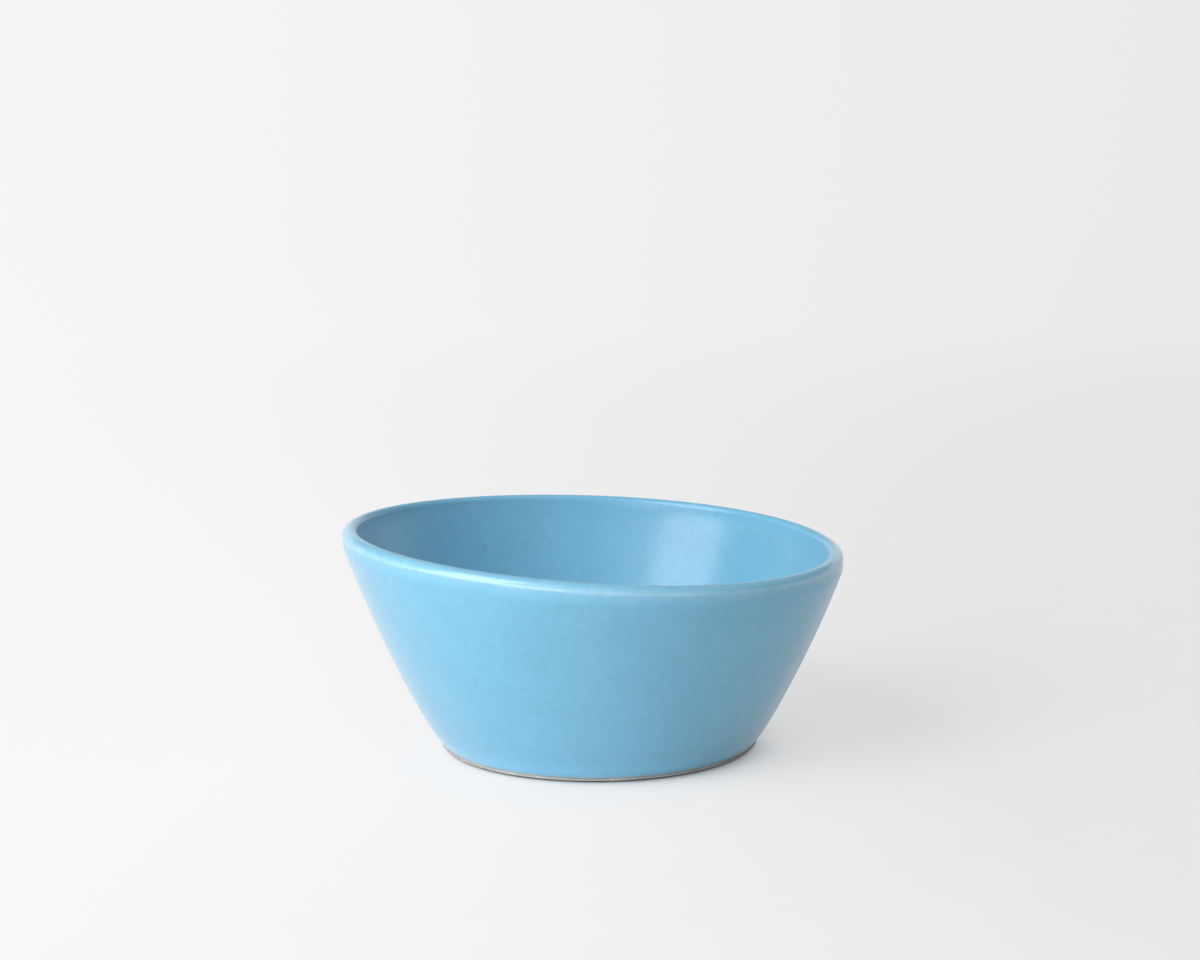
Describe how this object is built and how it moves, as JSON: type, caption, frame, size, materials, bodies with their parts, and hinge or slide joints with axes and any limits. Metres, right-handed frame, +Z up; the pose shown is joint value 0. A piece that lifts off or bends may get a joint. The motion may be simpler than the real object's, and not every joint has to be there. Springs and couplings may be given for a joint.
{
  "type": "breakfast bowl",
  "caption": "Wide open stoneware bowl with a gently curved conical wall, a rounded uneven rim, an all-over glaze and a low bare foot ring, for holding cereal, porridge or fruit.",
  "frame": {"origin": "on the table plane under the middle of the bowl's bounds; the axis that the bowl was turned on and its foot ring stand 1.3 mm from it towards +X, because the taller side of the rim reaches further out", "axes": "+Z up out of the bowl's mouth, -X towards the taller side of the rim, -Y towards the viewer of the picture"},
  "size_m": [0.15, 0.15, 0.0674],
  "materials": {
    "bare_clay": "matte",
    "glaze": "satin"
  },
  "bodies": {
    "root": {"stoneware_body": "bare_clay", "blue_glaze": "glaze", "underside_glaze": "glaze"}
  },
  "joints": []
}
